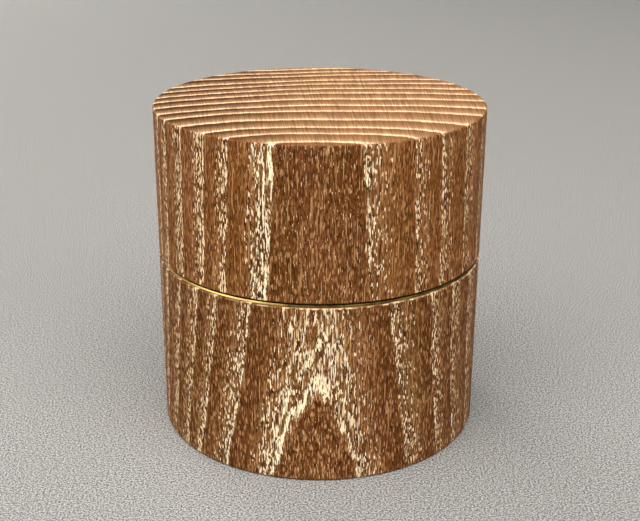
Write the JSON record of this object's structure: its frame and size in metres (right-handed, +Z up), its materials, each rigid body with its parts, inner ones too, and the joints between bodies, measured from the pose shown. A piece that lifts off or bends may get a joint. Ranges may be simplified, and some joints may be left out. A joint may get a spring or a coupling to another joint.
{
  "type": "tea caddy",
  "caption": "Cylindrical turned-wood tea caddy, brass-lined, with a lift-off lid over a collar and a knobbed inner lid that plugs the canister.",
  "frame": {"origin": "centre of the closed caddy's footprint, on the surface it stands on", "axes": "+Z up along the caddy's axis, +X and +Y level; the wood's heart side faces -Y"},
  "size_m": [0.076, 0.076, 0.077],
  "materials": {
    "mulberry": "satin, open-pored, grain upright",
    "sheet_brass": "burnished sheet, slightly dulled",
    "turned_brass": "lathe-turned, polished, darker in the corners"
  },
  "bodies": {
    "caddy_body": {"body_shell": "mulberry", "can_wall": "sheet_brass", "can_floor": "sheet_brass", "seam_ring": "turned_brass"},
    "lid": {"lid_shell": "mulberry", "lid_liner_wall": "sheet_brass", "lid_liner_top": "sheet_brass"},
    "inner_lid": {"inner_lid_plate": "sheet_brass", "inner_lid_skirt": "sheet_brass", "inner_lid_knob": "mulberry", "knob_washer": "turned_brass", "knob_screw": "turned_brass"}
  },
  "joints": [
    {"name": "lid_lift", "type": "slide", "parent": "caddy_body", "child": "lid", "axis": [0, 0, 1], "range_m": [0, 0.04]},
    {"name": "inner_lid_lift", "type": "slide", "parent": "caddy_body", "child": "inner_lid", "axis": [0, 0, 1], "range_m": [0, 0.009]}
  ]
}
